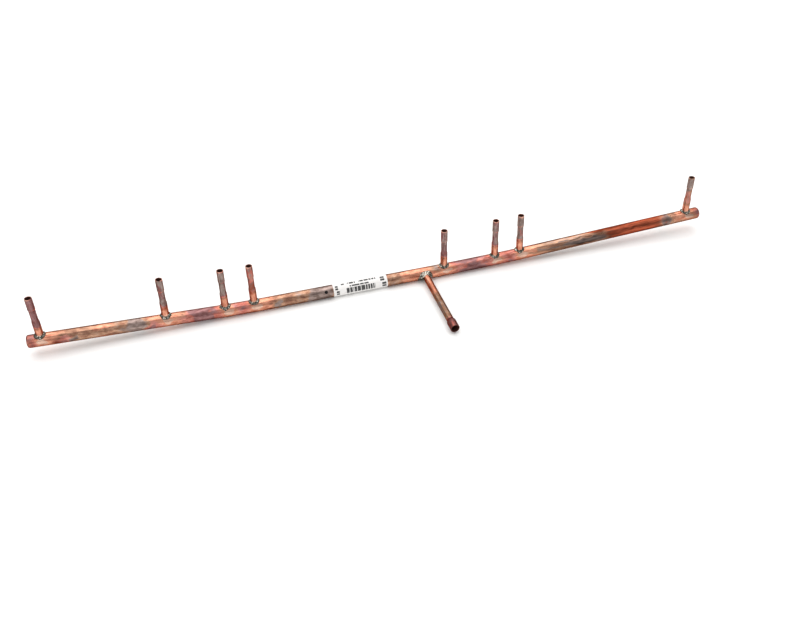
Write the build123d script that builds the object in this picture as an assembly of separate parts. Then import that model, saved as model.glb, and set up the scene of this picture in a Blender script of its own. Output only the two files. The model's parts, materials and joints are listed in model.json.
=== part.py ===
"""Refrigerant header: a copper tube closed at both ends, with eight branch stubs and one feed pipe.

Millimetres. The header tube runs along +X, the branch stubs point along +Z and the feed pipe along -Y.
The origin is the middle of the footprint, on the surface that the header lies on.

Places along the header are given as s, the length along its axis from the first branch stub.
The tube was straight before brazing. The heat at some of the stubs has bent it up there by about a
degree, so each piece is built upright about its own axis and then seated on the bent tube.
"""
import os
from math import degrees

from build123d import *

# Header tube
header_od = 22.22
header_wall = 1.0
left_overhang = 22.0
right_overhang = 28.0
end_corner_r = 3.6
end_wall = 1.4

# Branch stubs: the coil behind the header has its tubes one coil pitch apart
coil_pitch = 25.0
branch_steps = (0, 8, 12, 14, 28, 32, 34, 48)
coil_tube_od = 9.52
coil_tube_clearance = 0.14
branch_base_od = 12.7
branch_waist_od = 10.75
branch_wall = 1.1
branch_height = 85.0
socket_depth = 21.5
socket_taper = 3.4
waist_length = 18.6
flare_length = 4.5

# Feed pipe: its free end is swaged up to the outside size of the next larger tube
feed_step = 26.5
feed_od = 12.7
feed_wall = 1.0
feed_reach = 166.0
spigot_od = 15.88
spigot_length = 19.0
spigot_shoulder = 4.0

# Every pipe: how far it stands into the header, the gap for the filler, and the bevel on its free lip
insertion = 4.6
braze_gap = 0.05
lip_bevel = 0.3

# Braze fillets: the filler's leg along the header and along the branch
braze_leg = 3.2

# Bends left by the brazing heat: the stubs they lie under, counted outwards from the level middle run
left_bent = (3, 2)
left_bend_deg = 1.23
right_bent = (4, 5, 6)
right_bend_deg = 0.9

# Paper label, wrapped round the front of the tube, with a stretch of bare tube before the feed pipe
label_to_feed = 72.5
label_length = 100.0
label_wrap = 50.0
label_middle_deg = 52.0
label_thickness = 0.15
glue_gap = 0.02

header_r = header_od / 2
branch_s = [step * coil_pitch for step in branch_steps]
feed_s = feed_step * coil_pitch
label_end_s = feed_s - label_to_feed
left_end_s = branch_s[0] - left_overhang
right_end_s = branch_s[-1] + right_overhang
left_bends = [(branch_s[index], -1, left_bend_deg) for index in left_bent]
right_bends = [(branch_s[index], 1, right_bend_deg) for index in right_bent]
bends = left_bends + right_bends
insert_height = header_r - insertion


def along_header(s):
    """Where s lies on the bent header, as a location with +X along the tube.

    Each bend between the middle run and s turns the rest of the tube up, and a place right at a bend
    has half of its angle.
    """
    place = Location()
    for bend_s, side, angle in bends:
        beyond = (s - bend_s) * side
        if beyond >= 0:
            turn = angle if beyond > 0 else angle / 2
            place *= Pos(bend_s, 0, 0) * Rot(0, -side * turn, 0) * Pos(-bend_s, 0, 0)
    return place * Pos(s, 0, 0)


def branch_plane(s):
    """Plane on the header's axis at s, with its normal pointing up along a branch stub."""
    return Plane(along_header(s))


def feed_plane():
    """Plane on the header's axis at the feed pipe, with its normal pointing out along the pipe."""
    return Plane(along_header(feed_s) * Rot(90, 0, 0))


def section_plane(s):
    """Plane across the header at s: +x is the front, +y is up, and the normal points to the left."""
    level = branch_plane(s)
    return Plane(origin=level.origin, x_dir=-level.y_dir, z_dir=-level.x_dir)


def header_rod(radius, start_s, end_s):
    """A solid rod along the header's axis, mitred at each bend."""
    marks = [start_s, *sorted(bend_s for bend_s, side, angle in bends), end_s]
    path = Polyline(*[along_header(s).position for s in marks])
    return sweep(section_plane(start_s) * Circle(radius), path=path, transition=Transition.RIGHT)


def end_edges(rod):
    """The round edges of a rod's two end faces."""
    edges = rod.edges().sort_by(Axis.X)
    return [edges[0], edges[-1]]


def header_outside():
    """The header as a solid bar with both ends rounded."""
    rod = header_rod(header_r, left_end_s, right_end_s)
    return fillet(end_edges(rod), end_corner_r)


def header_inside():
    """The space inside the header, bevelled where the spun ends are thickest, in their corners."""
    rod = header_rod(header_r - header_wall, left_end_s + end_wall, right_end_s - end_wall)
    return chamfer(end_edges(rod), end_corner_r - header_wall)


def revolved_tube(outer, wall):
    """A tube of one wall thickness, turned from its outer line of (radius, height) points."""
    inner = [(radius - wall, height) for radius, height in reversed(outer)]
    section = Plane.XZ * make_face(Polyline(*outer, *inner, close=True))
    tube = revolve(section, Axis.Z)
    rims = tube.edges().group_by(Axis.Z)[-1]
    return chamfer(rims, lip_bevel)


def header_tube(outside, joints):
    """The header: one tube, spun closed at both ends, with a drilled hole for each branch and the feed."""
    tube = outside - header_inside()
    for plane, pipe_od in joints:
        tube -= plane * extrude(Circle(pipe_od / 2 + braze_gap), header_od)
    return tube


def branch_stub():
    """One branch stub: full size at its foot, drawn in to a waist, and opened to a socket at its top."""
    socket_r = coil_tube_od / 2 + coil_tube_clearance + branch_wall
    socket_floor = branch_height - socket_depth
    waist_top = socket_floor - socket_taper
    waist_foot = waist_top - waist_length
    outer = [
        (branch_base_od / 2, insert_height),
        (branch_base_od / 2, waist_foot - flare_length),
        (branch_waist_od / 2, waist_foot),
        (branch_waist_od / 2, waist_top),
        (socket_r, socket_floor),
        (socket_r, branch_height),
    ]
    return revolved_tube(outer, branch_wall)


def feed_pipe():
    """The feed pipe: a straight pipe, swaged up over a short shoulder at its free end."""
    spigot_foot = feed_reach - spigot_length
    outer = [
        (feed_od / 2, insert_height),
        (feed_od / 2, spigot_foot - spigot_shoulder),
        (spigot_od / 2, spigot_foot),
        (spigot_od / 2, feed_reach),
    ]
    return revolved_tube(outer, feed_wall)


def braze_fillet(outside, plane, pipe_od):
    """The filler round one joint: the bevel in the corner between the pipe and a straight piece of
    header, cut back to the outside of the bent one."""
    header_piece = Plane.YZ * extrude(Circle(header_r), pipe_od + 2 * braze_leg, both=True)
    pipe = extrude(Circle(pipe_od / 2), header_od)
    joint = header_piece + pipe
    seam = [edge for edge in joint.edges() if edge.geom_type not in (GeomType.LINE, GeomType.CIRCLE)]
    bevelled = chamfer(seam, braze_leg)
    return plane * (bevelled - header_piece - pipe) - outside


def paper_label():
    """The label: a thin sheet bent round the tube, from under the front to the back."""
    inner_r = header_r + glue_gap
    outer_r = inner_r + label_thickness
    wrap_deg = degrees(label_wrap / header_r)
    first_deg = label_middle_deg - wrap_deg / 2
    inside = CenterArc((0, 0), inner_r, first_deg, wrap_deg)
    outside = CenterArc((0, 0), outer_r, first_deg, wrap_deg)
    sheet = make_face([inside, Line(inside @ 1, outside @ 1), outside, Line(inside @ 0, outside @ 0)])
    return section_plane(label_end_s) * extrude(sheet, label_length)


def build():
    """All the pieces by name, in the header's frame, before the origin is moved to the footprint."""
    planes = [(branch_plane(s), branch_base_od) for s in branch_s]
    outside = header_outside()
    pieces = {"header_tube": header_tube(outside, planes + [(feed_plane(), feed_od)])}
    stub = branch_stub()
    for number, (plane, pipe_od) in enumerate(planes, start=1):
        pieces[f"branch_stub_{number}"] = plane * stub
        pieces[f"stub_braze_{number}"] = braze_fillet(outside, plane, pipe_od)
    pieces["feed_pipe"] = feed_plane() * feed_pipe()
    pieces["feed_braze"] = braze_fillet(outside, feed_plane(), feed_od)
    pieces["label"] = paper_label()
    return pieces


def footprint_origin(pieces):
    """Middle of the bounding box's bottom face."""
    box = Compound(children=[Compound(piece.solids()) for piece in pieces.values()]).bounding_box()
    return Vector((box.min.X + box.max.X) / 2, (box.min.Y + box.max.Y) / 2, box.min.Z)


def main():
    os.makedirs("parts", exist_ok=True)
    pieces = build()
    shift = footprint_origin(pieces) * -1
    for name, piece in pieces.items():
        export_step(Pos(*shift) * piece, f"parts/{name}.step")


if __name__ == "__main__":
    main()
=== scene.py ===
# %% [markdown]
# # A brazed copper header
#
# This lesson dresses a refrigerant header: one copper tube, spun closed at both ends, with eight
# stubs on top for the coil's tubes and one feed pipe in front. The engineering model is loaded as
# a fixed frame, so every piece made here takes its place and size from it.

import json
import math

import bmesh
import bpy
import numpy as np
from mathutils import Matrix, Vector


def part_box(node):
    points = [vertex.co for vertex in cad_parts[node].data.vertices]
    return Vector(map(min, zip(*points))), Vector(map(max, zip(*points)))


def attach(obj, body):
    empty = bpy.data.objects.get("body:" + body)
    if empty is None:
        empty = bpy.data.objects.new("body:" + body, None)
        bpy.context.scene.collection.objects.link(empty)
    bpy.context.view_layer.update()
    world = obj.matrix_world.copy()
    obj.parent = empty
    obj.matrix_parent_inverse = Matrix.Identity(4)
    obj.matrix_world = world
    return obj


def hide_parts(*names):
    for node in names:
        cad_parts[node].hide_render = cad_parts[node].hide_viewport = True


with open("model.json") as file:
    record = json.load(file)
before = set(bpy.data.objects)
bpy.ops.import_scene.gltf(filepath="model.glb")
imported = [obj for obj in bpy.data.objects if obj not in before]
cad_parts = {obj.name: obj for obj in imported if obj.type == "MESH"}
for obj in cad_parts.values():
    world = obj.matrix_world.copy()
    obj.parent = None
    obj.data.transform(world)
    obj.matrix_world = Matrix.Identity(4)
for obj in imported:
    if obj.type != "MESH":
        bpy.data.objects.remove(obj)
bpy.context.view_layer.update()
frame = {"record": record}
mounts = {mount["name"]: mount for mount in frame["record"]["mounts"]}

# %% [markdown]
# ## The line of the header
#
# The real tube was straight until the torch heat of five of its joints bent it there by about a
# degree each. A curve object could draw that line, but a formula is shorter and can also say where
# the surface is at any place: the slope takes one small step at each of those joints, and the line
# is the running sum of the slope's cosine and sine. All shapes below are worked out in millimetres
# and turned to metres when they become a mesh.

# %% The header's axis
MM = 0.001
STUB_PLACES = (0.0, 200.0, 300.0, 350.0, 700.0, 800.0, 850.0, 1200.0)
STUB_HEIGHT = 85.0
FEED_PLACE = 662.5
LEFT_BENT = (300.0, 350.0)
RIGHT_BENT = (700.0, 800.0, 850.0)
BEND_LENGTH = 3.0
LEFT_END = -22.0
RIGHT_END = 1228.0

header_low, header_high = (np.array(corner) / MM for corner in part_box("header_tube"))
HEADER_R = (header_high[1] - header_low[1]) / 2
AXIS_Y = (header_high[1] + header_low[1]) / 2


def stub_axis(number):
    """The direction of a stub, from its socket's mount."""
    return np.array(mounts[f"coil_socket_{number}"]["axis"])


def stub_root(number):
    """Where a stub's axis meets the header's: from the socket's middle, back down the stub."""
    mount = mounts[f"coil_socket_{number}"]
    middle_height = STUB_HEIGHT - mount["dims"]["length_mm"] / 2
    return np.array(mount["pos_m"]) / MM - stub_axis(number) * middle_height


left_turn = math.atan2(stub_axis(1)[0], stub_axis(1)[2]) / len(LEFT_BENT)
right_turn = math.atan2(-stub_axis(8)[0], stub_axis(8)[2]) / len(RIGHT_BENT)

ruler = np.arange(-40.0, 1260.0, 0.5)
ruler_slope = np.zeros_like(ruler)
for place in LEFT_BENT:
    ruler_slope -= left_turn * np.clip((place - ruler) / BEND_LENGTH + 0.5, 0, 1)
for place in RIGHT_BENT:
    ruler_slope += right_turn * np.clip((ruler - place) / BEND_LENGTH + 0.5, 0, 1)


def running_sum(rate):
    """The running sum of a rate along the ruler, zero at the first stub."""
    steps = (rate[1:] + rate[:-1]) / 2 * np.diff(ruler)
    total = np.concatenate([[0.0], np.cumsum(steps)])
    return total - np.interp(0.0, ruler, total)


ruler_x = stub_root(1)[0] + running_sum(np.cos(ruler_slope))
ruler_z = stub_root(1)[2] + running_sum(np.sin(ruler_slope))


def header_line(place):
    """x, z and slope of the header's axis at a place, read from the ruler."""
    x = np.interp(place, ruler, ruler_x)
    z = np.interp(place, ruler, ruler_z)
    slope = np.interp(place, ruler, ruler_slope)
    return x, z, slope


def on_header(place, turn, radius):
    """Points round the header: the axis, plus radius times cos(turn) to the front and sin(turn) up."""
    x, z, slope = header_line(place)
    ahead = radius * np.cos(turn)
    up = radius * np.sin(turn)
    return np.stack([x - up * np.sin(slope), AXIS_Y - ahead, z + up * np.cos(slope)], axis=-1)


gaps = []
for number, place in enumerate(STUB_PLACES, start=1):
    gaps.append(np.linalg.norm(on_header(place, 0.0, 0.0) - stub_root(number)))
print("header radius", round(HEADER_R, 3), "mm")
print("the line misses the stubs' roots by at most", round(max(gaps), 3), "mm")

# %% [markdown]
# ## From a grid of points to a mesh
#
# Nearly everything here is a tube, a ring or a sheet, and each of them is a surface over two
# parameters. So one helper takes a grid of points, joins neighbours into squares and merges the
# points that fall together at a pole or an edge. A revolve or a curve with a bevel would also give
# tubes, but a grid keeps each point's own values, which the finishes need later.

# %% Mesh helpers
SHARP_DEG = 50.0


def grid_faces(rows, columns, wrap_rows, wrap_columns, first=0):
    """Corner numbers of the squares of a grid: each point with its neighbours along and across."""
    along = np.arange(rows if wrap_rows else rows - 1)[:, None]
    across = np.arange(columns if wrap_columns else columns - 1)[None, :]
    next_along = (along + 1) % rows
    next_across = (across + 1) % columns
    corners = [
        along * columns + across,
        along * columns + next_across,
        next_along * columns + next_across,
        next_along * columns + across,
    ]
    return first + np.stack(corners, axis=-1).reshape(-1, 4)


def volume_of(points, faces):
    """The signed volume inside a closed mesh: a sixth of the sum of the corners' triple products."""
    a, b, c, d = (points[faces[:, i]] for i in range(4))
    return (np.einsum("ij,ij->i", a, np.cross(b, c)) + np.einsum("ij,ij->i", a, np.cross(c, d))).sum() / 6


def closed_grid(points, wrap_rows=False, wrap_columns=True, inward=False):
    """Points and faces of one closed skin over a grid (rows, columns, 3), facing out, or in on request."""
    rows, columns = points.shape[:2]
    flat = points.reshape(-1, 3)
    faces = grid_faces(rows, columns, wrap_rows, wrap_columns)
    turned_in = volume_of(flat - flat.mean(axis=0), faces) < 0
    if turned_in != inward:
        faces = faces[:, ::-1]
    return flat, faces


def joined(*skins):
    """Several skins as one list of points and one of faces."""
    first = np.cumsum([0] + [len(points) for points, faces in skins])
    all_points = np.concatenate([points for points, faces in skins])
    all_faces = np.concatenate([faces + start for (points, faces), start in zip(skins, first)])
    return all_points, all_faces


def make_object(name, skin, values=None, sharp_deg=SHARP_DEG):
    """A mesh object from a skin in millimetres, with named values on its points, smooth except at sharp
    edges."""
    points, faces = skin
    mesh = bpy.data.meshes.new(name)
    mesh.from_pydata((points * MM).tolist(), [], faces.tolist())
    for key, value in (values or {}).items():
        store(mesh, key, value)
    merge_points(mesh)
    mesh.shade_smooth()
    mesh.set_sharp_from_angle(angle=math.radians(sharp_deg))
    made = bpy.data.objects.new(name, mesh)
    bpy.context.scene.collection.objects.link(made)
    return made


def store(mesh, key, value):
    """Puts one number or one vector on each point of a mesh, under a name that materials can read."""
    value = np.asarray(value, dtype=np.float32)
    if value.ndim == 1:
        attribute = mesh.attributes.new(key, "FLOAT", "POINT")
        attribute.data.foreach_set("value", value)
    else:
        attribute = mesh.attributes.new(key, "FLOAT_VECTOR", "POINT")
        attribute.data.foreach_set("vector", value.ravel())


def merge_points(mesh, apart=1e-7):
    """Merges points that lie together, which closes poles and the edges of sheets."""
    work = bmesh.new()
    work.from_mesh(mesh)
    bmesh.ops.remove_doubles(work, verts=work.verts, dist=apart)
    bmesh.ops.dissolve_degenerate(work, edges=work.edges, dist=apart)
    work.to_mesh(mesh)
    work.free()


def smooth_step(value, start, end):
    """Rises from 0 to 1 between start and end, level at both."""
    t = np.clip((value - start) / (end - start), 0.0, 1.0)
    return t * t * (3 - 2 * t)


def waves(seed, terms, most):
    """A smooth random function of an angle and a second parameter: a sum of sines of whole-number turns."""
    draw = np.random.default_rng(seed)
    turns = draw.integers(1, most, terms)
    rates = draw.uniform(-most, most, terms)
    starts = draw.uniform(0.0, 2 * np.pi, terms)
    sizes = draw.uniform(0.4, 1.0, terms) / np.sqrt(terms)

    def wave(angle, other):
        total = 0.0
        for turn_rate, rate, start, size in zip(turns, rates, starts, sizes):
            total = total + size * np.sin(turn_rate * angle + rate * other + start)
        return total

    return wave


# %% [markdown]
# ## Where the torch has been
#
# Copper keeps a record of its heat. Near a joint the flux has left it clean and peach. Further out
# it turns pink and then plum, or tan and then grey, and where it stayed hot and dry it is a deep
# red. These zones were laid along the tube. Each is a soft oval on the surface that falls
# off like a bell. Slow waves bend its outline here, and the material below breaks it up with noise.
# Painting by hand would also do, but named zones are easy to move.
# A few of the clean zones and one film zone are painted highlights, not heat.

# %% Heat zones along the header
# Each zone: place along the tube, half length, turn from the front over the top, half turn
# (degrees), and strength, where 0.5 gives only the paler tint of a zone's border
PLUM_ZONES = [
    (745, 34, 92, 60, 1.05),
    (-17, 14, 40, 300, 0.62),
    (36, 13, -15, 70, 0.8),
    (177, 12, -20, 60, 0.8),
    (260, 28, 40, 260, 1.15),
    (330, 16, 40, 200, 0.6),
    (756, 37, -5, 80, 1.15),
    (756, 38, 90, 90, 0.6),
    (826, 16, 5, 60, 0.85),
    (826, 18, 80, 90, 0.6),
    (1225, 9, 40, 200, 0.55),
]
GREY_ZONES = [
    (51, 9, 0, 45, 1.0),
    (88, 22, 25, 60, 0.5),
    (127, 13, 25, 200, 0.7),
    (150, 19, 60, 260, 1.1),
    (390, 11, 10, 45, 1.0),
    (425, 28, 40, 200, 0.5),
    (470, 32, 30, 260, 1.2),
    (604, 12, 25, 200, 0.62),
    (684, 12, 80, 55, 0.7),
    (905, 34, 75, 60, 0.5),
    (915, 60, 14, 20, 0.85),
    (975, 60, 14, 36, 1.25),
    (950, 60, 54, 8, 0.9),
    (960, 45, 78, 12, 0.75),
    (1010, 20, 12, 50, 1.2),
    (1155, 11, 40, 260, 1.15),
    (1180, 24, -30, 45, 0.55),
]
RED_ZONES = [
    (30, 15, -20, 60, 0.7),
    (240, 10, 0, 90, 0.5),
    (1085, 66, 40, 300, 1.25),
    (1032, 46, 92, 36, 1.0),
    (885, 26, 95, 50, 0.35),
]
DARK_ZONES = [
    (-17, 12, 40, 300, 0.65),
    (26, 18, 0, 120, 0.6),
    (40, 10, -20, 45, 0.5),
    (101, 4, 45, 40, 0.7),
    (477, 26, -20, 40, 0.45),
    (597, 3, 10, 80, 0.6),
    (757, 30, -15, 45, 0.6),
    (950, 62, 54, 7, 0.9),
    (1005, 56, 13, 21, 1.5),
    (1016, 14, 50, 60, 0.85),
    (1085, 60, 34, 9, 0.9),
    (1090, 50, 62, 14, 0.4),
    (1155, 8, 40, 240, 0.6),
    (1216, 20, 20, 120, 0.75),
]
# Patches away from the joints: those at 60 to 70 degrees round from the front are painted highlights, the
# others clean copper
CLEAN_AND_HIGHLIGHT_ZONES = [
    (104, 24, 68, 26, 0.9),
    (101, 14, -32, 28, 0.9),
    (450, 18, 66, 22, 0.5),
    (632, 18, 35, 80, 1.0),
    (925, 30, 60, 14, 0.8),
]
# The film of filler that spread down the front below each stub, and one pale streak that is a painted
# highlight
FILM_AND_HIGHLIGHT_ZONES = [(place + 3, 10, 16, 26, 1.1) for place in STUB_PLACES] + [(964, 36, 43, 7, 1.1)]
# How far round each stub's joint and the feed's the tube is clean
CLEAN_REACH = (30.0, 27.0, 25.0, 36.0, 25.0, 24.0, 34.0, 24.0)
FEED_CLEAN_REACH = 38.0
# Where the drawing die's lines show: where they begin, are full, begin to fade and are gone
DRAWN_LINES = (830.0, 900.0, 1140.0, 1160.0)


def bell(distance):
    """A bell: e to the minus distance squared."""
    return np.exp(-(distance**2))


def turn_apart(turn, middle):
    """Degrees from one turn to another the short way round."""
    return (np.degrees(turn) - middle + 180.0) % 360.0 - 180.0


def zone_strength(zones, place, turn):
    """The strongest zone at each point: the bell of its distance, in half lengths and half turns."""
    strength = np.zeros_like(place)
    for middle, half_length, middle_turn, half_turn, most in zones:
        along = (place - middle) / half_length
        around = turn_apart(turn, middle_turn) / half_turn
        strength = np.maximum(strength, most * bell(np.hypot(along, around)))
    return strength


def from_feed(place, turn):
    """Distance over the header's surface from the feed pipe's joint, in millimetres: the hypotenuse of the
    lengths along and round the tube."""
    return np.hypot(place - FEED_PLACE, np.radians(turn_apart(turn, 0.0)) * HEADER_R)


def header_heat(place, turn):
    """The finish values of the header's points: clean round each joint, the lines, and the zones, a few
    of them painted highlights, all with their outlines bent by slow waves of a few millimetres."""
    place = place + 4.0 * waves(61, 8, 4)(turn, place / 15.0)
    turn = turn + 0.2 * waves(62, 8, 4)(turn, place / 12.0)
    clean_and_highlight = bell(from_feed(place, turn) / FEED_CLEAN_REACH)
    for joint_place, reach in zip(STUB_PLACES, CLEAN_REACH):
        clean_and_highlight = np.maximum(clean_and_highlight, bell((place - joint_place) / reach))
    first, full, last, gone = DRAWN_LINES
    return {
        "clean_and_highlight": np.maximum(clean_and_highlight, zone_strength(CLEAN_AND_HIGHLIGHT_ZONES, place, turn)),
        "lines": smooth_step(place, first, full) * (1.0 - smooth_step(place, last, gone)),
        "film_and_highlight": zone_strength(FILM_AND_HIGHLIGHT_ZONES, place, turn),
        "plum": zone_strength(PLUM_ZONES, place, turn),
        "grey": zone_strength(GREY_ZONES, place, turn),
        "red": zone_strength(RED_ZONES, place, turn),
        "dark": zone_strength(DARK_ZONES, place, turn),
    }


all_zones = PLUM_ZONES + GREY_ZONES + RED_ZONES + DARK_ZONES + CLEAN_AND_HIGHLIGHT_ZONES + FILM_AND_HIGHLIGHT_ZONES
print("heat zones:", len(all_zones))

# %% [markdown]
# ## The header tube
#
# A drawn copper tube with a 1 mm wall whose ends were spun shut, which leaves a flat face with a
# rounded corner. Its skin is a profile of radius against place, carried along the bent line. The
# inner wall is a second, smaller skin that faces the other way. The holes for the pipes are
# drilled with a Boolean modifier, the surest way to cut two round surfaces with each other, and
# the finish values are put on afterwards, from where each point lies.

# %% Header tube
HEADER_WALL = 1.0
END_WALL = 1.4
END_CORNER_R = 3.6
HOLE_R = 6.4
RINGS_APART = 2.5
AROUND_OUTSIDE = 96
AROUND_INSIDE = 48


def round_ended(start, end, radius, corner):
    """Place and radius of each ring: the end face from its pole, a quarter circle, even steps, and the
    same mirrored."""
    turn = np.linspace(0.0, np.pi / 2, 9)
    corner_place = corner * (1 - np.cos(turn))
    corner_radius = radius - corner + corner * np.sin(turn)
    middle = np.linspace(start + corner, end - corner, round((end - start) / RINGS_APART))[1:-1]
    face_radius = np.linspace(0.0, radius - corner, 5)[:-1]
    half_place = np.concatenate([np.zeros_like(face_radius), corner_place])
    half_radius = np.concatenate([face_radius, corner_radius])
    place = np.concatenate([start + half_place, middle, end - half_place[::-1]])
    ring_radius = np.concatenate([half_radius, np.full_like(middle, radius), half_radius[::-1]])
    return place, ring_radius


def rod_skin(start, end, radius, corner, around, inward=False):
    """A round-ended rod along the header's axis: rings of points at each place, turned once round."""
    place, ring_radius = round_ended(start, end, radius, corner)
    turn = np.linspace(0.0, 2 * np.pi, around, endpoint=False)
    return closed_grid(on_header(place[:, None], turn[None, :], ring_radius[:, None]), inward=inward)


def locate(points):
    """Place, turn and grain coordinates of points near the header. The nearest place on the axis is found
    in a few steps, each by the distance that is left along the slope."""
    place = np.interp(points[:, 0], ruler_x, ruler)
    for step in range(3):
        x, z, slope = header_line(place)
        place = place + (points[:, 0] - x) * np.cos(slope) + (points[:, 2] - z) * np.sin(slope)
    x, z, slope = header_line(place)
    up = (points[:, 2] - z) * np.cos(slope) - (points[:, 0] - x) * np.sin(slope)
    ahead = AXIS_Y - points[:, 1]
    return place, np.arctan2(up, ahead), np.stack([place, ahead, up], axis=-1)


def pipe_axes(number):
    """Root and axes (along the header, across, up the pipe) of a stub, or of the feed pipe for number 0."""
    if number == 0:
        root = on_header(FEED_PLACE, 0.0, 0.0)
        up = np.array(mounts["feed_spigot"]["axis"])
        slope = header_line(FEED_PLACE)[2]
    else:
        root = stub_root(number)
        up = stub_axis(number)
        slope = header_line(STUB_PLACES[number - 1])[2]
    right = np.array([math.cos(slope), 0.0, math.sin(slope)])
    return root, np.stack([right, np.cross(up, right), up])


def drill(number):
    """A closed cylinder standing on the header's axis, the size of a drilled hole."""
    root, axes = pipe_axes(number)
    turn = np.linspace(0.0, 2 * np.pi, 64, endpoint=False)
    radius = np.array([0.0, HOLE_R, HOLE_R, 0.0])[:, None]
    height = np.array([2.0, 2.0, 2 * HEADER_R, 2 * HEADER_R])[:, None]
    local = np.stack(np.broadcast_arrays(radius * np.cos(turn), radius * np.sin(turn), height), axis=-1)
    return closed_grid(root + local @ axes)


def cut_away(piece, cutter):
    """Subtracts one closed mesh from another with a Boolean modifier, and keeps the result as the mesh."""
    boolean = piece.modifiers.new("holes", "BOOLEAN")
    boolean.operation = "DIFFERENCE"
    boolean.solver = "EXACT"
    boolean.object = cutter
    bpy.context.view_layer.update()
    evaluated = piece.evaluated_get(bpy.context.evaluated_depsgraph_get())
    cut = bpy.data.meshes.new_from_object(evaluated)
    piece.modifiers.clear()
    piece.data = cut
    bpy.data.objects.remove(cutter)


outside = rod_skin(LEFT_END, RIGHT_END, HEADER_R, END_CORNER_R, AROUND_OUTSIDE)
inside = rod_skin(
    LEFT_END + END_WALL,
    RIGHT_END - END_WALL,
    HEADER_R - HEADER_WALL,
    END_CORNER_R - HEADER_WALL,
    AROUND_INSIDE,
    inward=True,
)
header = make_object("header_tube_skin", joined(outside, inside))
cut_away(header, make_object("drills", joined(*[drill(number) for number in range(9)])))
header.data.set_sharp_from_angle(angle=math.radians(SHARP_DEG))

header_points = np.empty(len(header.data.vertices) * 3)
header.data.vertices.foreach_get("co", header_points)
header_place, header_turn, header_grain = locate(header_points.reshape(-1, 3) / MM)
for key, value in {**header_heat(header_place, header_turn), "grain": header_grain}.items():
    store(header.data, key, value)
print("header tube:", len(header.data.polygons), "faces")

# %% [markdown]
# ## The stubs and the feed pipe
#
# Each stub is a short copper pipe: full size at its foot, pressed in to a waist, and opened again
# to a socket for a coil tube. The feed pipe is plain and swells at its end. A pipe is a surface of
# revolution: an outer radius against height, an inner one a wall thinner, and a rounded lip. Both
# swellings are smooth steps, so each radius is one formula.

# %% Pipes
# Points round a pipe, and its sizes in millimetres; LIP is the height of the rounded lip
AROUND_PIPE = 64
PIPE_RINGS_APART = 0.9
PIPE_R = 6.35
INSERT_HEIGHT = HEADER_R - 4.6
STUB_WALL = 1.1
FEED_WALL = 1.0
FEED_REACH = 166.0
LIP = 0.45


def stub_radius(height):
    """Outer radius of a stub: foot, minus a smooth step in to the waist, plus one out to the socket, plus
    a small bell at its shoulder."""
    foot, waist, socket = PIPE_R, 5.375, 6.0
    drawn_in = (foot - waist) * smooth_step(height, 36.0, 43.0)
    opened = (socket - waist) * smooth_step(height, 60.6, 63.6)
    shoulder = 0.12 * bell((height - 64.0) / 0.8)
    return foot - drawn_in + opened + shoulder - 0.04 * smooth_step(height, 63.0, 64.5)


def feed_radius(height):
    """Outer radius of the feed pipe: plain, and a smooth step out to its swelled end."""
    plain, swelled = PIPE_R, 7.94
    return plain + (swelled - plain) * smooth_step(height, 142.5, 147.0)


def pipe_rows(radius_at, top, wall):
    """Radius and height of each ring of a pipe's wall: up the outside, over the round lip, and down the
    inside."""
    height = np.linspace(INSERT_HEIGHT, top - LIP, round((top - INSERT_HEIGHT) / PIPE_RINGS_APART))
    bow = np.linspace(0.0, np.pi, 9)[1:-1]
    middle = radius_at(top) - wall / 2
    lip_radius = middle + wall / 2 * np.cos(bow)
    lip_height = top - LIP + LIP * np.sin(bow)
    radius = np.concatenate([radius_at(height), lip_radius, radius_at(height)[::-1] - wall])
    return radius, np.concatenate([height, lip_height, height[::-1]])


def pipe_piece(name, number, radius_at, top, wall, heat):
    """A pipe standing on the header, with its finish values: heat is a function of height and angle."""
    root, axes = pipe_axes(number)
    radius, height = pipe_rows(radius_at, top, wall)
    turn = np.linspace(0.0, 2 * np.pi, AROUND_PIPE, endpoint=False)
    dent = 0.05 * waves(number + 40, 4, 3)(turn[None, :], height[:, None] / 40.0)
    radius = radius[:, None] + dent * smooth_step(height, top, top - 6.0)[:, None]
    local = np.stack(
        np.broadcast_arrays(radius * np.cos(turn), radius * np.sin(turn), height[:, None]),
        axis=-1,
    )
    skin = closed_grid(root + local @ axes, wrap_rows=True)
    inner = np.zeros(local.shape[:2])
    inner[len(height) // 2 :] = 1.0
    flat = local.reshape(-1, 3)
    values = heat(flat[:, 2], np.arctan2(flat[:, 1], flat[:, 0]))
    values["soot"] = inner.ravel() * smooth_step(flat[:, 2], top, top - 1.2)
    values["grain"] = flat[:, [2, 0, 1]] + [300.0 * number, 0.0, 0.0]
    return make_object(name, skin, values)


# %% [markdown]
# The foot of each stub was cleaned by the flux, its flare is red-brown, and the rest has a dull
# plum or grey oxide that differs from stub to stub, as each was heated by hand. A thin pale ring
# round the socket's shoulder is a painted highlight, and the lip is pale too.

# %% Stubs and feed pipe
# Each stub: plum, grey and red of its barrel, the same of its waist, and the height of its clean foot
STUB_TINTS = [
    ((1.0, 0.4, 0.0), (1.0, 0.3, 0.2), 25.0),
    ((1.0, 0.8, 0.0), (0.95, 0.74, 0.1), 29.0),
    ((1.0, 0.76, 0.0), (0.95, 0.7, 0.1), 29.0),
    ((0.62, 0.7, 0.34), (0.6, 0.6, 0.46), 31.0),
    ((1.0, 0.6, 0.1), (0.95, 0.6, 0.15), 28.0),
    ((1.0, 0.66, 0.1), (1.0, 0.64, 0.1), 30.0),
    ((0.8, 0.88, 0.0), (0.85, 0.8, 0.1), 31.0),
    ((0.5, 0.95, 0.0), (0.4, 0.55, 0.36), 25.0),
]


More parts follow.
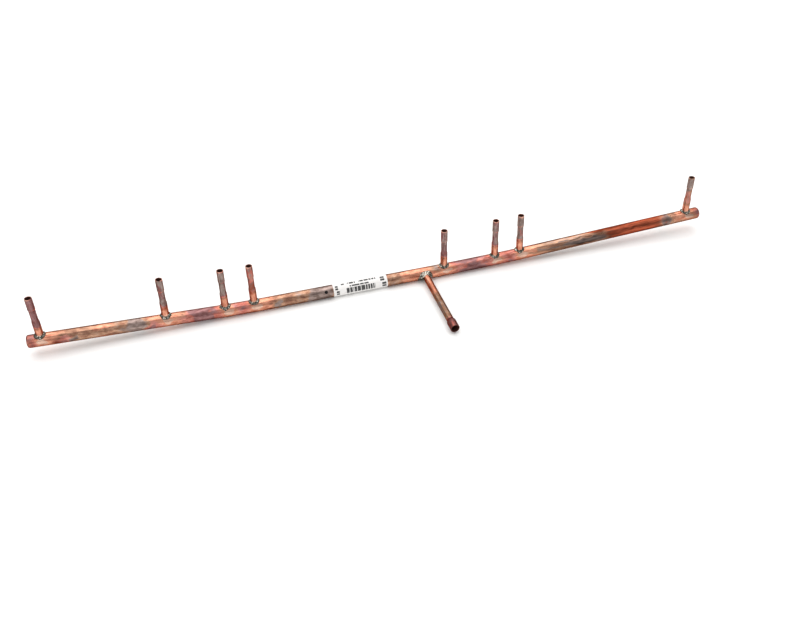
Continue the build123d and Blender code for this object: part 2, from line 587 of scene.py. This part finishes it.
def stub_heat(number):
    """The finish values of a stub against height: clean foot, red-brown flare, its own tints above, and a
    painted highlight ring at its shoulder and a pale lip.
    """
    barrel, waist, clean_top = STUB_TINTS[number - 1]

    def heat(height, turn):
        height = height + 1.6 * waves(number + 70, 4, 3)(turn, height / 9.0)
        up = smooth_step(height, 52.0, 64.0)
        # A painted highlight round the socket's shoulder, and a pale band on the lip
        shoulder_highlight_and_lip = 0.6 * bell((height - 63.6) / 0.7) + 0.5 * smooth_step(height, 83.6, 84.4)
        tinted = smooth_step(height, clean_top - 2.0, clean_top + 9.0) * (1.0 - shoulder_highlight_and_lip)
        plum, grey, red = ((low + (high - low) * up) * tinted for low, high in zip(waist, barrel))
        return {
            "clean_and_highlight": 1.0 - smooth_step(height, clean_top - 10.0, clean_top + 10.0),
            "film_and_highlight": np.maximum(0.55 * (1.0 - smooth_step(height, 14.0, 19.0)), 1.1 * shoulder_highlight_and_lip),
            "plum": plum,
            "grey": grey,
            "red": np.maximum(red, 0.56 * bell((height - clean_top - 1.0) / 8.0)),
            "dark": 0.2 * tinted + 0.14,
        }

    return heat


def feed_heat(height, turn):
    """The finish values of the feed pipe: clean root, brown shaft, darker red-brown swelled end."""
    height = height + 5.0 * waves(80, 5, 3)(turn, height / 25.0)
    swelled = smooth_step(height, 136.0, 144.0)
    return {
        "clean_and_highlight": 1.0 - smooth_step(height, 35.0, 90.0),
        "film_and_highlight": 0.5 * (1.0 - smooth_step(height, 13.0, 22.0)),
        "plum": 0.7 * swelled,
        "grey": 0.5 * smooth_step(height, 60.0, 95.0) * (1.0 - swelled),
        "red": 0.5 * bell((height - 45.0) / 35.0) + 0.4 * swelled,
        "dark": 0.35 + 0.3 * smooth_step(height, 50.0, 90.0) + 0.05 * swelled,
    }


stubs = []
for number in range(1, 9):
    name = f"stub_{number}_skin"
    stubs.append(pipe_piece(name, number, stub_radius, STUB_HEIGHT, STUB_WALL, stub_heat(number)))
feed = pipe_piece("feed_pipe_skin", 0, feed_radius, FEED_REACH, FEED_WALL, feed_heat)
faces = [len(piece.data.polygons) for piece in (stubs[0], feed)]
print("pipes:", len(stubs), "stubs of", faces[0], "faces, feed pipe of", faces[1])

# %% [markdown]
# ## The braze
#
# Molten filler was run into each joint by hand, so it is a ring that saddles the tube, a little
# wider in some places than in others, with lumps where the rod last touched. Across, it is a curve
# from the toe on the header, past an elbow over the corner, to the top on the pipe. Round the pipe,
# the toe, the elbow and the top each wander with their own waves. Metaballs would give lumps too,
# but not a toe that stays on the header's surface.

# %% Braze fillets
# Points round and across a ring, how far its hidden side lies inside the pipes, and its lumps' height
AROUND_BRAZE = 120
ACROSS_BRAZE = 22
SUNK = 0.25
STUB_LUMPS = 0.9
FEED_LUMPS = 1.1
BRAZE_SHARP_DEG = 80.0


def saddle(radius, turn, lift, header_r):
    """Points round a pipe's root at a radius, on a header of header_r, raised by lift: the height is the
    root of header_r squared less across squared."""
    across = radius * np.sin(turn)
    height = np.sqrt(np.maximum(header_r**2 - across**2, 1.0)) + lift
    return np.stack(np.broadcast_arrays(radius * np.cos(turn), across, height), axis=-1)


def braze_skin(number, toe, climb, painted_glint_at, lumps, seed):
    """A saddle of filler round a pipe's root, with toe and climb, its legs in millimetres, as functions of
    the angle, and a painted highlight on the filler, also a function of the angle. The open side is
    (1-t)^2 toe + 2t(1-t) elbow + t^2 top. The hidden side lies a little inside both pipes."""
    root, axes = pipe_axes(number)
    turn = np.linspace(0.0, 2 * np.pi, AROUND_BRAZE, endpoint=False)[None, :]
    t = np.linspace(0.0, 1.0, ACROSS_BRAZE)[:, None]
    wander = waves(seed, 7, 7)
    toe_leg = toe(turn) * (1.0 + 0.2 * wander(turn, 0.0))
    top_leg = climb(turn) * (1.0 + 0.22 * wander(turn, 2.0))
    fill = 0.46 + 0.2 * wander(turn, 4.0)

    toe_points = saddle(PIPE_R + toe_leg, turn, 0.0, HEADER_R)
    elbow = saddle(PIPE_R + fill * toe_leg, turn, fill * top_leg, HEADER_R)
    top_points = saddle(PIPE_R, turn, top_leg, HEADER_R)
    blend = t[:, :, None]
    open_side = (1 - blend) ** 2 * toe_points + 2 * blend * (1 - blend) * elbow + blend**2 * top_points
    outwards = np.stack(np.broadcast_arrays(np.cos(turn), np.sin(turn), np.full_like(turn, 0.8)), axis=-1)
    bulge = lumps * np.sin(np.pi * t) ** 0.7 * (0.5 + 0.5 * waves(seed + 7, 8, 8)(turn, 1.2 * t))
    open_side = open_side + bulge[:, :, None] * outwards

    under_top = saddle(PIPE_R - SUNK, turn, top_leg, HEADER_R)
    corner = saddle(PIPE_R - SUNK, turn, -SUNK, HEADER_R)
    under_toe = saddle(PIPE_R + toe_leg, turn, 0.0, HEADER_R - SUNK)
    rows = np.concatenate([open_side, under_top, corner, under_toe])
    rise = np.concatenate([np.broadcast_to(t, open_side.shape[:2]), np.zeros((3, AROUND_BRAZE))])
    skin = closed_grid(root + rows @ axes, wrap_rows=True)
    grain = rows.reshape(-1, 3)[:, [2, 0, 1]] + [300.0 * number, 0.0, 0.0]
    painted_glint = np.broadcast_to(painted_glint_at(turn), rows.shape[:2])
    return skin, {"rise": rise.ravel(), "painted_glint": painted_glint.ravel(), "grain": grain}


def stub_toe(turn):
    """Leg on the header round a stub: a little longer along the tube than down its sides."""
    return 3.5 - 1.2 * np.sin(turn) ** 2


def stub_climb(turn):
    """Leg up a stub: a little higher at its sides."""
    return 2.7 + 0.6 * np.sin(turn) ** 2


def feed_toe(turn):
    """Leg on the header round the feed pipe: long along the tube, with a run down to the lower left."""
    drip = 2.6 * bell(np.radians(turn_apart(turn, 215.0)) / 0.45)
    return 3.0 + 4.4 * np.cos(turn) ** 2 + drip


def feed_climb(turn):
    """Leg up the feed pipe: higher on its upper side."""
    return 3.7 + 1.3 * np.sin(turn)


def stub_painted_glint(turn):
    """No painted highlight on the filler round a stub: the same on all sides."""
    return np.zeros_like(turn)


def feed_painted_glint(turn):
    """A painted highlight on the filler round the feed pipe, brightest at its upper left."""
    return 0.11 * bell(np.radians(turn_apart(turn, 120.0)) / 0.9)


brazes = []
for number in range(1, 9):
    skin, values = braze_skin(number, stub_toe, stub_climb, stub_painted_glint, STUB_LUMPS, seed=10 + number)
    brazes.append(make_object(f"stub_braze_{number}_skin", skin, values, BRAZE_SHARP_DEG))
skin, values = braze_skin(0, feed_toe, feed_climb, feed_painted_glint, FEED_LUMPS, seed=30)
brazes.append(make_object("feed_braze_skin", skin, values, BRAZE_SHARP_DEG))
print("braze:", len(brazes), "rings of", len(brazes[0].data.polygons), "faces")

# %% [markdown]
# ## The paper label and the ink spot
#
# A printed paper label is wrapped round the tube's front, and beside it someone has set a round
# spot with a felt pen. The label is a sheet over (length, girth) with two faces that meet at its
# edges. Its print is drawn by the material, from the two lengths kept on each point. The spot is
# the same kind of sheet, round and thinner.

# %% Label and spot
LABEL_START = 490.0
LABEL_LENGTH = 100.0
LABEL_FIRST_DEG = -76.9
LABEL_LAST_DEG = 180.9
LABEL_GIRTH = 50.0
LABEL_THICKNESS = 0.15
GLUE_GAP = 0.02
TRIM = 0.3
SHEET_SHARP_DEG = 60.0


def sheet_skin(place, turn, lift, depth):
    """A sheet on the header with two faces: lift is the outer face's height over the tube, and the inner
    face lies depth below it, except at the grid's edges, where both are the same line."""
    inner_lift = lift - depth
    inner_lift[0, :] = lift[0, :]
    inner_lift[-1, :] = lift[-1, :]
    inner_lift[:, 0] = lift[:, 0]
    inner_lift[:, -1] = lift[:, -1]
    outer = on_header(place, turn, HEADER_R + lift)
    inner = on_header(place, turn, HEADER_R + inner_lift)
    return np.concatenate([outer, inner[::-1]])


def label_piece():
    """The label: length and girth as a grid, a little short of the model's sheet at both ends, with a
    faint ripple that dies out at its edges."""
    along = np.linspace(0.0, 1.0, 121)[:, None]
    across = np.linspace(0.0, 1.0, 97)[None, :]
    place = LABEL_START + TRIM + (LABEL_LENGTH - 2 * TRIM) * along
    turn = np.radians(LABEL_FIRST_DEG + (LABEL_LAST_DEG - LABEL_FIRST_DEG) * across)
    place, turn = np.broadcast_arrays(place, turn)
    from_end = np.minimum(along, 1 - along) * LABEL_LENGTH
    from_side = np.minimum(across, 1 - across) * LABEL_GIRTH
    from_edge = np.minimum(from_end, from_side)
    ripple = 0.02 * waves(5, 6, 5)(2 * np.pi * along, 6.0 * across)
    lift = GLUE_GAP + LABEL_THICKNESS - 0.03 + ripple * np.clip(from_edge / 3.0, 0.0, 1.0)
    skin = closed_grid(sheet_skin(place, turn, lift, LABEL_THICKNESS - 0.05), wrap_columns=False)
    girth = (turn - math.radians(LABEL_FIRST_DEG)) * HEADER_R
    ink = np.stack([place - LABEL_START, girth, np.zeros_like(girth)], axis=-1)
    ink = np.concatenate([ink, ink[::-1]]).reshape(-1, 3)
    return make_object("label_sheet", skin, {"print": ink}, SHEET_SHARP_DEG)


def spot_piece():
    """The ink spot: a disc in radius and angle, laid on the tube, its rim a little uneven."""
    place, turn_deg, radius = 476.6, 34.0, 3.1
    share = np.linspace(0.0, 1.0, 9)[:, None]
    angle = np.linspace(0.0, 2 * np.pi, 49)[None, :]
    reach = radius * share * (1.0 + 0.05 * waves(3, 5, 6)(angle, 0.0))
    turn = math.radians(turn_deg) + reach * np.sin(angle) / HEADER_R
    lift = np.broadcast_to(0.04 * (1 - share**4), reach.shape)
    rows = sheet_skin(place + reach * np.cos(angle), turn, lift, 0.08)
    return make_object("ink_spot", closed_grid(rows, wrap_columns=False), None, SHEET_SHARP_DEG)


label = label_piece()
spot = spot_piece()
print("label:", len(label.data.polygons), "faces, spot:", len(spot.data.polygons), "faces")

# %% [markdown]
# ## Tools for the finishes
#
# Colours are written as sRGB hex values, which is how they were judged, and one function
# turns them to the linear values that Blender mixes. One more function adds a node with its
# settings and links and gives back its result, so that a material reads as a list of steps.

# %% Material helpers
SMOOTH = {"interpolation_type": "SMOOTHSTEP"}
TINT = {"data_type": "RGBA"}
SHADE = {"data_type": "RGBA", "blend_type": "MULTIPLY"}


def linear(hex_colour):
    """An sRGB hex colour as linear red, green, blue and alpha."""
    srgb = np.array([int(hex_colour[i : i + 2], 16) for i in (1, 3, 5)]) / 255
    rgb = np.where(srgb <= 0.04045, srgb / 12.92, ((srgb + 0.055) / 1.055) ** 2.4)
    return (*rgb.tolist(), 1.0)


def node(tree, kind, *values, out=None, **named):
    """Adds a node and gives its first output, or the one that out names. Values go to its open inputs in
    order. A name in small letters is a setting, and one with a capital is an input."""
    made = tree.nodes.new(f"ShaderNode{kind}")
    settings = {key: value for key, value in named.items() if key.islower()}
    for key, value in settings.items():
        setattr(made, key, value)
    fills = list(zip([socket for socket in made.inputs if socket.enabled], values))
    fills += [(made.inputs[key.replace("_", " ")], named[key]) for key in named if key not in settings]
    for socket, value in fills:
        if isinstance(value, bpy.types.NodeSocket):
            tree.links.new(value, socket)
        else:
            socket.default_value = value
    return made.outputs[out] if out else next(socket for socket in made.outputs if socket.enabled)


def new_material(name):
    """An empty node material, its tree, and the input that its shader goes to."""
    material = bpy.data.materials.new(name)
    material.use_nodes = True
    tree = material.node_tree
    tree.nodes.clear()
    return material, tree, tree.nodes.new("ShaderNodeOutputMaterial").inputs["Surface"]


def wear(piece, material):
    """Gives a piece one material."""
    piece.data.materials.clear()
    piece.data.materials.append(material)


# %% [markdown]
# ## Heat-tinted copper
#
# Phosphorus-deoxidised copper tube, cold drawn, then heated in air: a metal under very thin oxide
# films. Metallic is 1, with the default IOR, and the edge tint is a dull copper, because the film
# takes the white out of the light at a slant. Each heat value from the mesh is broken up with noise
# before it picks a colour, and passes through the paler tint of its border first, as a thickening
# film does. Streaks run along the grain, because the tube was drawn, and the oxidised parts are
# rougher. Inside the pipes the scale is a thick brown crust, so there it is no longer a metal.

# %% Copper layers
# Each layer: heat value, where it starts and is full, and its deep and pale tones
COPPER_LAYERS = [
    # This first layer tints clean copper and also the painted highlights of the clean zones
    ("clean_and_highlight", 0.15, 0.55, "#be7860", "#e6a487"),
    ("grey", 0.25, 0.5, "#996f59", "#c49c82"),
    ("plum", 0.2, 0.45, "#b3665a", "#d38f82"),
    ("plum", 0.5, 0.8, "#784f4d", "#a17878"),
    ("grey", 0.5, 0.8, "#73615a", "#aa968f"),
    ("red", 0.35, 0.8, "#783d2a", "#ab563e"),
    # This layer tints the filler's film and also painted highlights: a streak along the header and the
    # stubs' shoulder rings
    ("film_and_highlight", 0.4, 0.7, "#c49b88", "#e0baa6"),
]


def heat_amount(tree, key, *noises):
    """A heat value plus each noise's departure from one half, times its weight."""
    amount = node(tree, "Attribute", out="Fac", attribute_name=key)
    for noise, weight in noises:
        shift = node(tree, "Math", noise, weight, -weight / 2, operation="MULTIPLY_ADD")
        amount = node(tree, "Math", amount, shift, operation="ADD")
    return amount


def grain_pattern(tree, size_mm, stretch=1.0, detail=3.0, roughness=0.55, seed=0.0):
    """Noise over the grain's millimetres, with features of a size, longer along the tube by stretch."""
    grain = node(tree, "Attribute", out="Vector", attribute_name="grain")
    scale = (1.0 / (size_mm * stretch), 1.0 / size_mm, 1.0 / size_mm)
    placed = node(tree, "Mapping", grain, Location=(seed, seed, seed), Scale=scale)
    return node(tree, "TexNoise", placed, Scale=1.0, Detail=detail, Roughness=roughness)


# %% Copper material
def copper_material():
    """Copper with its heat record: dull tan, then each layer's tint from its border to its middle."""
    material, tree, surface = new_material("heat_tinted_copper")
    lines = heat_amount(tree, "lines")
    drawn = grain_pattern(tree, 9.0, stretch=14.0, seed=47.0)
    ribs = grain_pattern(tree, 5.0, stretch=18.0, detail=2.0, seed=53.0)
    cloud = grain_pattern(tree, 14.0, stretch=1.5, detail=4.0, seed=3.0)
    blotch = grain_pattern(tree, 6.0, stretch=2.0, detail=4.0, roughness=0.6, seed=11.0)
    cloud = node(tree, "Mix", lines, cloud, drawn)
    blotch = node(tree, "Mix", lines, blotch, ribs)
    streak = grain_pattern(tree, 2.6, stretch=5.0, roughness=0.6, seed=23.0)
    hair = grain_pattern(tree, 1.0, stretch=26.0, detail=2.0, seed=31.0)

    ragged = [(cloud, 1.2), (blotch, 0.8)]
    amounts = {key: heat_amount(tree, key, *ragged) for key in ("clean_and_highlight", "plum", "grey", "red")}
    amounts["film_and_highlight"] = heat_amount(tree, "film_and_highlight", (blotch, 0.6))
    tone = node(tree, "MapRange", blotch, 0.32, 0.68, **SMOOTH)
    colour = node(tree, "Mix", tone, linear("#896150"), linear("#b68b73"), **TINT)
    for key, start, full, deep, pale in COPPER_LAYERS:
        tint = node(tree, "Mix", tone, linear(deep), linear(pale), **TINT)
        share = node(tree, "MapRange", amounts[key], start, full, **SMOOTH)
        colour = node(tree, "Mix", share, colour, tint, **TINT)

    # Each shade: a pattern, where it starts and ends, and the factors there
    dark = heat_amount(tree, "dark", (blotch, 0.8))
    shades = [(dark, 0.1, 0.9, 1.0, 0.5), (streak, 0.3, 0.7, 0.82, 1.12), (hair, 0.3, 0.7, 0.92, 1.05)]
    for shade in shades:
        factor = node(tree, "MapRange", *shade, **SMOOTH)
        colour = node(tree, "Mix", 1.0, colour, factor, **SHADE)
    die_mark = node(tree, "MapRange", drawn, 0.36, 0.64, 0.52, 1.42, **SMOOTH)
    colour = node(tree, "Mix", lines, colour, die_mark, **SHADE)
    soot = heat_amount(tree, "soot", (blotch, 0.2))
    crust = node(tree, "MapRange", soot, 0.0, 1.0, **SMOOTH)
    colour = node(tree, "Mix", crust, colour, linear("#51322b"), **TINT)

    oxide = node(tree, "Math", amounts["plum"], amounts["grey"], operation="MAXIMUM")
    oxide = node(tree, "Math", oxide, amounts["red"], operation="MAXIMUM")
    dullness = node(tree, "MapRange", oxide, 0.2, 0.8, 0.22, 0.34, **SMOOTH)
    scratch = node(tree, "MapRange", streak, 0.3, 0.7, 0.1, -0.04, **SMOOTH)
    height = node(tree, "Math", node(tree, "Math", streak, hair, operation="ADD"), blotch, operation="ADD")
    shader = node(
        tree,
        "BsdfPrincipled",
        Base_Color=colour,
        Metallic=node(tree, "MapRange", soot, 0.2, 1.0, 1.0, 0.1, **SMOOTH),
        Roughness=node(tree, "Math", dullness, scratch, operation="ADD"),
        Specular_Tint=linear("#a0786b"),
        Normal=node(tree, "Bump", Strength=0.35, Distance=0.0002, Height=height),
    )
    tree.links.new(shader, surface)
    return material


copper = copper_material()
slots = {"header_copper": [header], "feed_copper": [feed], "branch_copper": stubs}
for slot, pieces in slots.items():
    for piece in pieces:
        wear(piece, copper)
print("copper:", len(copper.node_tree.nodes), "nodes, on", len(stubs) + 2, "pieces")

# %% [markdown]
# ## Brazing filler
#
# A silver-bearing filler that froze where it lay: a grey metal, with a skin of dark flux and oxide in
# its hollows and along its toe. Scattered light, smooth patches are partly bare metal and partly
# painted glints, and round the feed pipe a painted highlight lightens its upper left. The rise across
# the fillet, kept on each point, says where the toe is.


# %% Filler material
def filler_material():
    """Grey filler metal: light patches, partly bare metal and partly painted glints, dark flux along the
    toe, cloudy oxide between.
    """
    material, tree, surface = new_material("frozen_braze_filler")
    cloud = grain_pattern(tree, 2.2, seed=5.0)
    fine = grain_pattern(tree, 0.7, detail=2.0, seed=9.0)
    rise = node(tree, "Attribute", out="Fac", attribute_name="rise")
    painted_glint = node(tree, "Attribute", out="Fac", attribute_name="painted_glint")
    # Light, smooth patches, partly bare filler and partly painted glints, plus the feed's painted highlight
    bare_and_glint = node(tree, "MapRange", node(tree, "Math", cloud, painted_glint, operation="ADD"), 0.5, 0.66, **SMOOTH)
    metal = node(tree, "Mix", bare_and_glint, linear("#504c44"), linear("#cfc8bc"), **TINT)
    climb = node(tree, "Math", cloud, 0.5, rise, operation="MULTIPLY_ADD")
    toe = node(tree, "MapRange", climb, 0.22, 0.5, 1.0, 0.0, **SMOOTH)
    shader = node(
        tree,
        "BsdfPrincipled",
        Base_Color=node(tree, "Mix", toe, metal, linear("#2e2823"), **TINT),
        Metallic=1.0,
        Roughness=node(tree, "MapRange", cloud, 0.44, 0.62, 0.5, 0.18, **SMOOTH),
        Specular_Tint=linear("#938f84"),
        Normal=node(tree, "Bump", Strength=0.3, Distance=0.0003, Height=fine),
    )
    tree.links.new(shader, surface)
    return material


filler = filler_material()
for piece in brazes:
    wear(piece, filler)
print("filler:", len(filler.node_tree.nodes), "nodes, on", len(brazes), "pieces")

# %% [markdown]
# ## Printed paper and felt-pen ink
#
# The label is uncoated white paper with plain bars and marks in black toner. A mark is drawn where
# the print's two lengths fall inside a box. The bars and the rows of small marks are boxes that a
# random value for each step along the label switches on or off, so they say nothing. Real paper
# fibres and ink grains are finer than those drawn here, and would not show.

# %% Label material
# Features in each millimetre of the paper's fibre and of the ink's tone
FIBRES = 0.9
INK_GRAINS = 0.7
# Each block: middle along, middle of the girth, half length, half height, in millimetres
LABEL_BLOCKS = [
    (6.0, 27.6, 2.6, 1.7),
    (6.0, 23.2, 2.6, 1.7),
    (8.0, 17.6, 2.8, 1.8),
    (8.0, 13.0, 2.8, 1.8),
    (90.6, 30.2, 3.8, 1.9),
    (90.6, 25.4, 3.8, 1.9),
    (93.2, 18.6, 3.8, 2.0),
    (93.2, 13.6, 3.8, 2.0),
    (18.0, 30.8, 2.8, 1.7),
]
# Each row: middle along, middle of the girth, half length, half height, step along, share inked
LABEL_ROWS = [
    (50.0, 17.0, 26.5, 5.0, 1.15, 0.6),
    (33.0, 31.0, 8.0, 2.1, 1.5, 0.7),
    (63.0, 31.4, 16.0, 2.0, 1.3, 0.65),
    (47.5, 24.9, 17.5, 1.4, 1.3, 0.7),
]


def in_box(tree, at, middle, half):
    """1 where both lengths lie within their halves of their middles, else 0."""
    along, girth = (node(tree, "Math", at[i], middle[i], half[i], operation="COMPARE") for i in (0, 1))
    return node(tree, "Math", along, girth, operation="MULTIPLY")


def label_print(tree):
    """Where the print is: the blocks, and the rows with a random value for each step along them."""
    print_lengths = node(tree, "Attribute", out="Vector", attribute_name="print")
    at = [node(tree, "SeparateXYZ", print_lengths, out=axis) for axis in ("X", "Y")]
    ink = 0.0
    for along, girth, half_along, half_girth in LABEL_BLOCKS:
        block = in_box(tree, at, (along, girth), (half_along, half_girth))
        ink = node(tree, "Math", block, ink, operation="MAXIMUM")
    for along, girth, half_along, half_girth, step, share in LABEL_ROWS:
        row = in_box(tree, at, (along, girth), (half_along, half_girth))
        steps = node(tree, "Math", at[0], step, operation="DIVIDE")
        count = node(tree, "Math", steps, operation="FLOOR")
        random = node(tree, "TexWhiteNoise", count, noise_dimensions="1D")
        inked = node(tree, "Math", random, share, operation="LESS_THAN")
        mark = node(tree, "Math", row, inked, operation="MULTIPLY")
        ink = node(tree, "Math", mark, ink, operation="MAXIMUM")
    return ink


def label_material():
    """White paper with the blocks and rows of the print, its black a little worn."""
    material, tree, surface = new_material("printed_label_paper")
    metres = node(tree, "TexCoord", out="Object")
    fibre = node(tree, "TexNoise", metres, Scale=FIBRES / MM, Detail=3.0)
    worn = node(tree, "MapRange", fibre, 0.35, 0.6, 1.0, 0.9, **SMOOTH)
    ink = node(tree, "Math", label_print(tree), worn, operation="MULTIPLY")
    paper = node(tree, "Mix", fibre, linear("#ebe6e1"), linear("#ededed"), **TINT)
    shader = node(
        tree,
        "BsdfPrincipled",
        Base_Color=node(tree, "Mix", ink, paper, linear("#0d0c0e"), **TINT),
        Roughness=0.62,
        Normal=node(tree, "Bump", Strength=0.15, Distance=0.0001, Height=fibre),
    )
    tree.links.new(shader, surface)
    return material


def ink_material():
    """Black felt-pen ink on metal: thin, nearly matt, uneven in tone."""
    material, tree, surface = new_material("felt_pen_ink")
    metres = node(tree, "TexCoord", out="Object")
    tone = node(tree, "TexNoise", metres, Scale=INK_GRAINS / MM, Detail=2.0)
    shader = node(
        tree,
        "BsdfPrincipled",
        Base_Color=node(tree, "Mix", tone, linear("#060407"), linear("#171315"), **TINT),
        Roughness=node(tree, "MapRange", tone, 0.3, 0.7, 0.7, 0.9, **SMOOTH),
        Specular_IOR_Level=0.2,
    )
    tree.links.new(shader, surface)
    return material


wear(label, label_material())
wear(spot, ink_material())
print("print:", len(LABEL_BLOCKS), "blocks and", len(LABEL_ROWS), "rows")

# %% [markdown]
# ## Tie the pieces to the frame
#
# Every piece rides on the one body, and each skin stands for the node whose shape it refines. The
# spot replaces nothing.

# %% Ride and replace
for piece in [header, feed, label, spot, *stubs, *brazes]:
    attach(piece, "root")
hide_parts("header_tube")
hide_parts("feed_pipe")
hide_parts("label")
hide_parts("feed_braze")
for number in range(1, 9):
    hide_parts(f"branch_stub_{number}")
    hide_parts(f"stub_braze_{number}")

# %% [markdown]
# ## Stage, light and camera
#
# The object lies on a white table in soft light. The table is a broad flat sheet with the faint
# tooth of matt card. One wide lamp overhead gives the long highlight along the tube, a weaker one
# fills from the front left, and the world's even pale grey does the rest. The camera stands where
# the photographer stood: its place, direction, tilt and lens were fitted to the tube's edges.

# %% Floor
TABLE_REACH = 8.0
TABLE_POINTS = 9
# Bumps in each millimetre of the card, coarser than real ones so that they show
CARD_BUMPS = 0.4


def floor_piece():
    """The table: a flat square grid, TABLE_REACH metres to each side, wider than any view."""
    reach = np.linspace(-TABLE_REACH, TABLE_REACH, TABLE_POINTS) / MM
    points = np.stack(np.meshgrid(reach, reach, [0.0], indexing="ij"), axis=-1).reshape(-1, 3)
    made = make_object("table", (points, grid_faces(TABLE_POINTS, TABLE_POINTS, False, False)))
    material, tree, surface = new_material("matt_white_card")
    metres = node(tree, "TexCoord", out="Object")
    tooth = node(tree, "TexNoise", metres, Scale=CARD_BUMPS / MM, Detail=3.0)
    colour = node(tree, "Mix", tooth, linear("#f5f5f4"), linear("#fcfcfb"), **TINT)
    tree.links.new(node(tree, "BsdfPrincipled", Base_Color=colour, Roughness=0.75), surface)
    wear(made, material)
    return made


table = floor_piece()
print("table:", len(table.data.polygons), "faces")


# %% Light
def soft_lamp(name, place, width, depth, watts):
    """A rectangular lamp, in metres, turned to shine at the origin, which lies under the object."""
    light = bpy.data.lights.new(name, "AREA")
    light.shape = "RECTANGLE"
    light.size = width
    light.size_y = depth
    light.energy = watts
    lamp = bpy.data.objects.new(name, light)
    lamp.rotation_euler = (-Vector(place)).to_track_quat("-Z", "Y").to_euler()
    lamp.location = place
    lamp.visible_camera = False
    bpy.context.scene.collection.objects.link(lamp)
    print(name + ":", watts, "W over", width, "x", depth, "m")


soft_lamp("overhead_softbox", place=(0.0, 1.9, 5.2), width=9.0, depth=8.0, watts=335.0)
soft_lamp("front_fill", place=(-2.5, -3.0, 2.5), width=3.0, depth=2.5, watts=17.0)

world = bpy.data.worlds.new("even_grey")
world.use_nodes = True
sky = world.node_tree.nodes["Background"]
sky.inputs["Color"].default_value = linear("#f4f4f4")
sky.inputs["Strength"].default_value = 0.8
bpy.context.scene.world = world
bpy.context.scene.view_settings.view_transform = "Standard"

# %% Camera
# The place and both directions were fitted to the tube's edges, in metres
VIEW_FROM = (-0.3125, -1.0382, 0.8683)
VIEW_ALONG = np.array([0.21526, 0.74138, -0.63562])
VIEW_RIGHT = np.array([0.95698, -0.28982, -0.01396])
FOCAL_LENGTH_PIXELS = 791.4
PHOTO_WIDTH_PIXELS = 800
SENSOR_WIDTH_MM = 36.0


def stand_camera():
    """A camera whose axes are the fitted right and back directions, and up at right angles to both."""
    back = -VIEW_ALONG / np.linalg.norm(VIEW_ALONG)
    up = np.cross(back, VIEW_RIGHT)
    up = up / np.linalg.norm(up)
    right = np.cross(up, back)
    data = bpy.data.cameras.new("camera")
    data.sensor_width = SENSOR_WIDTH_MM
    data.lens = FOCAL_LENGTH_PIXELS / PHOTO_WIDTH_PIXELS * SENSOR_WIDTH_MM
    made = bpy.data.objects.new("camera", data)
    turned = Matrix(np.stack([right, up, back], axis=1).tolist()).to_4x4()
    turned.translation = VIEW_FROM
    made.matrix_world = turned
    bpy.context.scene.collection.objects.link(made)
    bpy.context.scene.camera = made
    return made


camera = stand_camera()
print("camera lens", round(camera.data.lens, 2), "mm")
